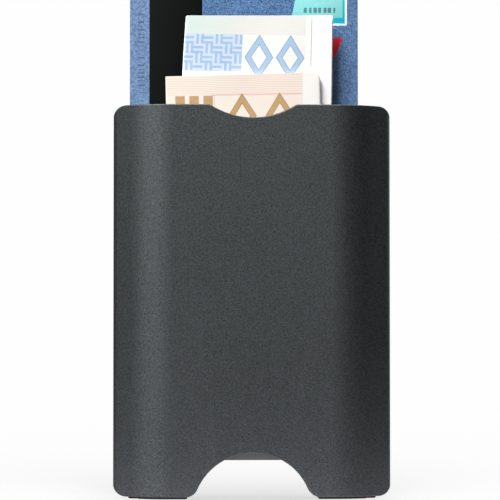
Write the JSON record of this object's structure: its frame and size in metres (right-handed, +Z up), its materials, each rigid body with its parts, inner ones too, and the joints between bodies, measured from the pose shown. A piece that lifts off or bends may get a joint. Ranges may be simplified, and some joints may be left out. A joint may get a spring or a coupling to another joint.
{
  "type": "minimalist wallet",
  "caption": "Slim rigid metal sleeve that holds a stack of bank cards and folded banknotes, with a finger notch above and a thumb arch below to push the cards out.",
  "frame": {"origin": "centre of the footprint on the plane the feet stand on, midway through the sleeve's depth", "axes": "+Z up, the way the cards slide out; +X to the right seen from the cash side; the cash side faces -Y and the flat back faces +Y"},
  "size_m": [0.0654, 0.0116, 0.1245],
  "materials": {
    "sleeve_anodised": "bead-blasted, dark grey anodised",
    "foot_nylon": "moulded, fine texture",
    "spring_steel": "cold-rolled, brushed lengthwise",
    "grip_felt": "pressed wool felt",
    "card_blue": "laminated PVC, printed, with a magnetic stripe",
    "card_green": "laminated PVC, printed, with a magnetic stripe",
    "card_white": "laminated PVC, printed, with a magnetic stripe",
    "card_charcoal": "laminated PVC, printed, with a magnetic stripe",
    "chip_contact": "gold flashed contact pads",
    "note_orange": "printed cotton paper, creased",
    "note_blue": "printed cotton paper, creased"
  },
  "bodies": {
    "sleeve": {"sleeve": "sleeve_anodised", "foot_left": "foot_nylon", "foot_right": "foot_nylon", "spring_plate": "spring_steel", "felt_pad_left": "grip_felt", "felt_pad_right": "grip_felt"},
    "front_card": {"front_card": "card_blue", "front_card_chip": "chip_contact"},
    "second_card": {"second_card": "card_green", "second_card_chip": "chip_contact"},
    "third_card": {"third_card": "card_white", "third_card_chip": "chip_contact"},
    "rear_card": {"rear_card": "card_charcoal", "rear_card_chip": "chip_contact"},
    "front_note": {"front_note": "note_orange"},
    "rear_note": {"rear_note": "note_blue"}
  },
  "joints": [
    {"name": "front_card_slide", "type": "slide", "parent": "sleeve", "child": "front_card", "axis": [0, 0, 1], "range_m": [-0.03, 0.043]},
    {"name": "second_card_slide", "type": "slide", "parent": "sleeve", "child": "second_card", "axis": [0, 0, 1], "range_m": [0, 0.073]},
    {"name": "third_card_slide", "type": "slide", "parent": "sleeve", "child": "third_card", "axis": [0, 0, 1], "range_m": [0, 0.073]},
    {"name": "rear_card_slide", "type": "slide", "parent": "sleeve", "child": "rear_card", "axis": [0, 0, 1], "range_m": [0, 0.073]},
    {"name": "front_note_slide", "type": "slide", "parent": "sleeve", "child": "front_note", "axis": [0, 0, 1], "range_m": [-0.019, 0.053]},
    {"name": "rear_note_slide", "type": "slide", "parent": "sleeve", "child": "rear_note", "axis": [0, 0, 1], "range_m": [-0.037, 0.035]}
  ]
}
